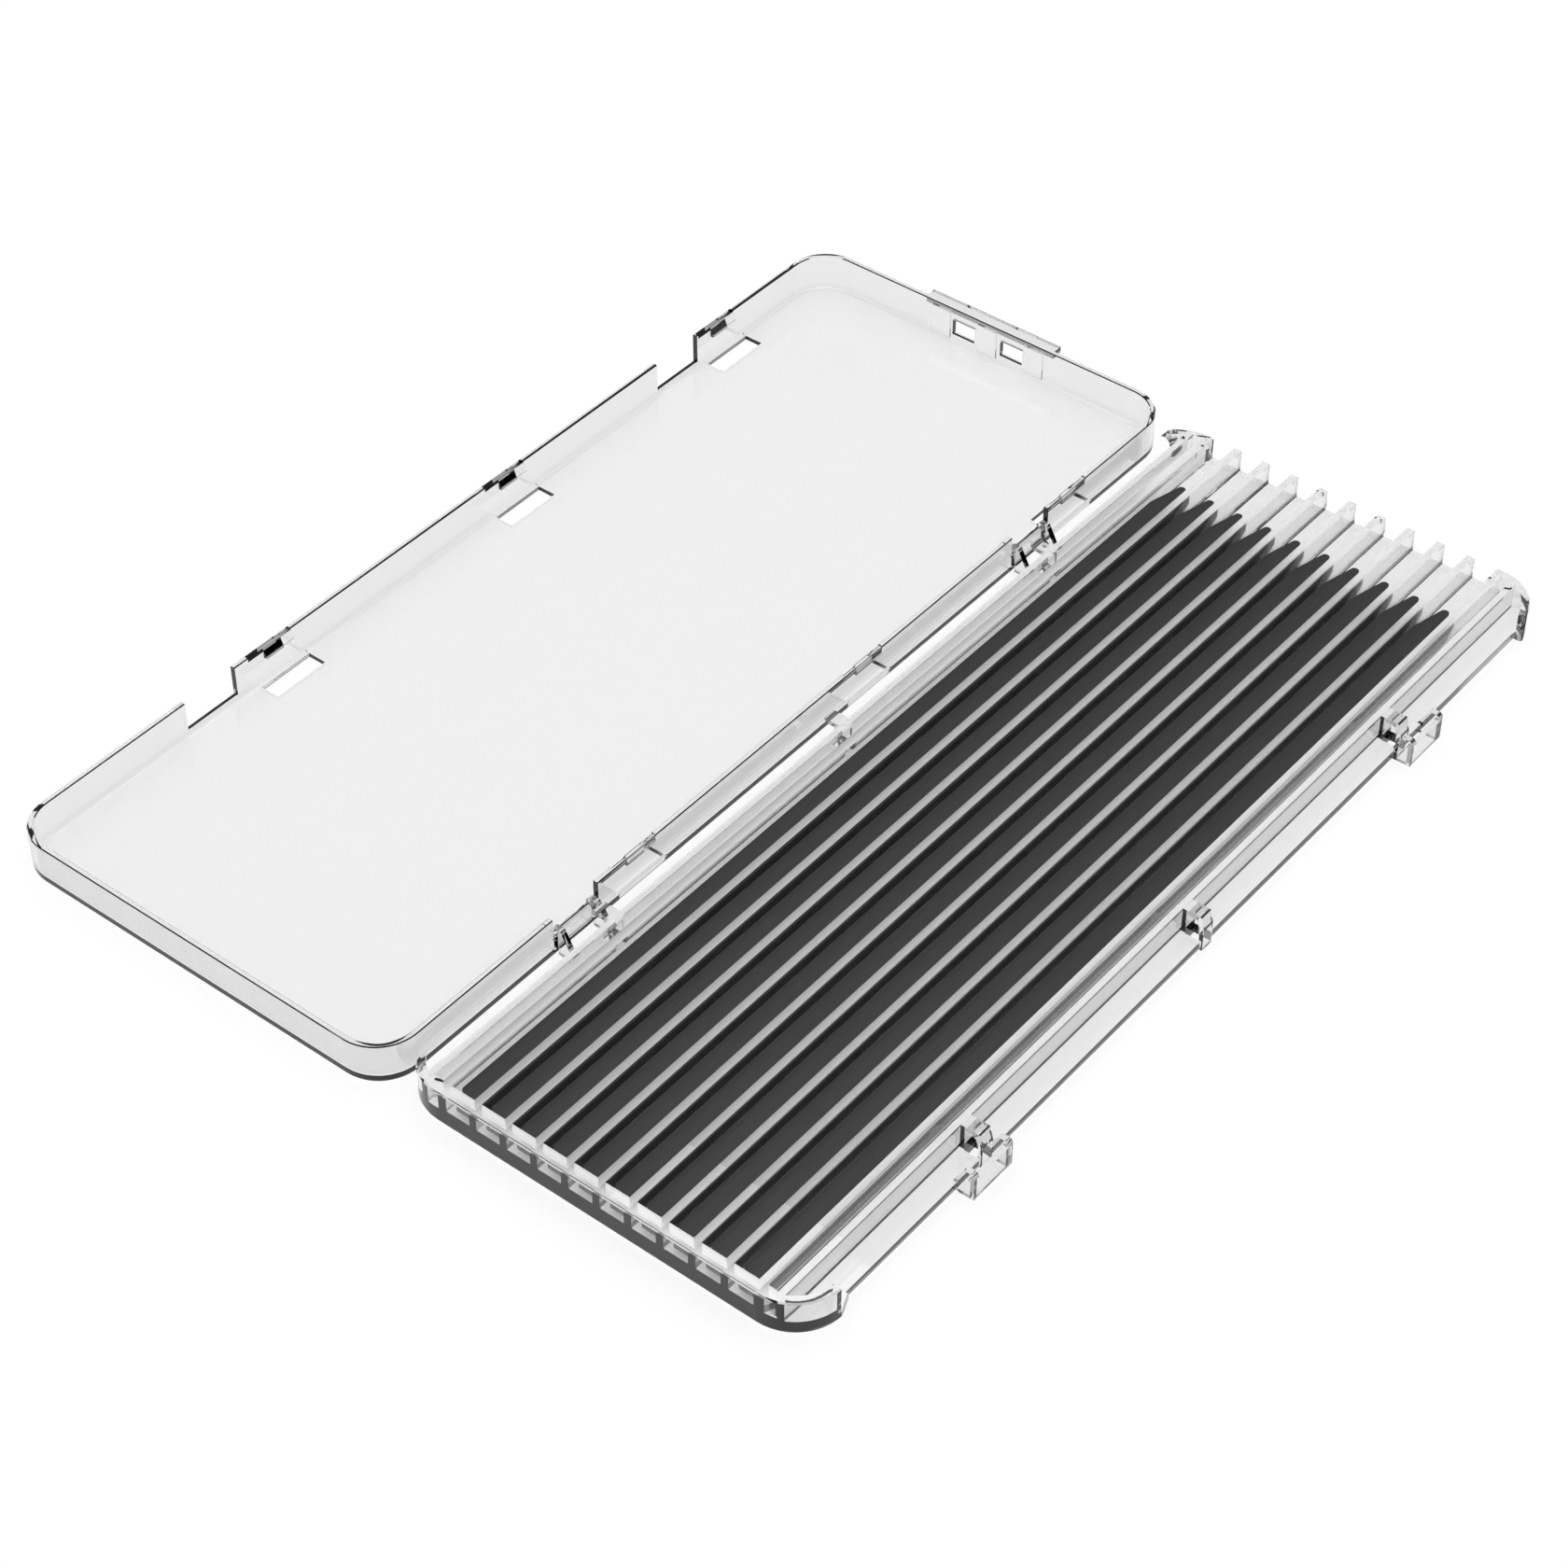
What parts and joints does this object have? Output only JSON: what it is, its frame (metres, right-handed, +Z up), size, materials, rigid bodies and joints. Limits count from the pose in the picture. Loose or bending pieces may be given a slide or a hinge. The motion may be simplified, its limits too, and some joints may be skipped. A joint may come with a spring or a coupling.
{
  "type": "storage box",
  "caption": "Slim clear storage box: a hinged tray lid lies open beside a channelled base that holds a row of flat dark strips.",
  "frame": {"origin": "centre of the base's flat underside, midway between its long sides and between the inner ends of the lid", "axes": "+Z up out of the channels, +Y along the channels towards their open far ends, -X towards the hinge and the opened lid"},
  "size_m": [0.1892, 0.2442, 0.0092],
  "materials": {
    "clear_lid": "clear, glossy",
    "clear_base": "clear, glossy",
    "dark_strip": "satin, near black"
  },
  "bodies": {
    "base": {"base": "clear_base"},
    "lid": {"lid": "clear_lid"},
    "strip_1": {"strip_1": "dark_strip"},
    "strip_2": {"strip_2": "dark_strip"},
    "strip_3": {"strip_3": "dark_strip"},
    "strip_4": {"strip_4": "dark_strip"},
    "strip_5": {"strip_5": "dark_strip"},
    "strip_6": {"strip_6": "dark_strip"},
    "strip_7": {"strip_7": "dark_strip"},
    "strip_8": {"strip_8": "dark_strip"},
    "strip_9": {"strip_9": "dark_strip"},
    "strip_10": {"strip_10": "dark_strip"}
  },
  "joints": [
    {"name": "lid_hinge", "type": "hinge", "parent": "base", "child": "lid", "pos_m": [-0.04695, 0, 0.0046], "axis": [0, -1, 0], "range_deg": [-180, 0]},
    {"name": "strip_1_lift", "type": "slide", "parent": "base", "child": "strip_1", "axis": [0, 0, 1], "range_m": [0, 0.012]},
    {"name": "strip_2_lift", "type": "slide", "parent": "base", "child": "strip_2", "axis": [0, 0, 1], "range_m": [0, 0.012]},
    {"name": "strip_3_lift", "type": "slide", "parent": "base", "child": "strip_3", "axis": [0, 0, 1], "range_m": [0, 0.012]},
    {"name": "strip_4_lift", "type": "slide", "parent": "base", "child": "strip_4", "axis": [0, 0, 1], "range_m": [0, 0.012]},
    {"name": "strip_5_lift", "type": "slide", "parent": "base", "child": "strip_5", "axis": [0, 0, 1], "range_m": [0, 0.012]},
    {"name": "strip_6_lift", "type": "slide", "parent": "base", "child": "strip_6", "axis": [0, 0, 1], "range_m": [0, 0.012]},
    {"name": "strip_7_lift", "type": "slide", "parent": "base", "child": "strip_7", "axis": [0, 0, 1], "range_m": [0, 0.012]},
    {"name": "strip_8_lift", "type": "slide", "parent": "base", "child": "strip_8", "axis": [0, 0, 1], "range_m": [0, 0.012]},
    {"name": "strip_9_lift", "type": "slide", "parent": "base", "child": "strip_9", "axis": [0, 0, 1], "range_m": [0, 0.012]},
    {"name": "strip_10_lift", "type": "slide", "parent": "base", "child": "strip_10", "axis": [0, 0, 1], "range_m": [0, 0.012]}
  ]
}
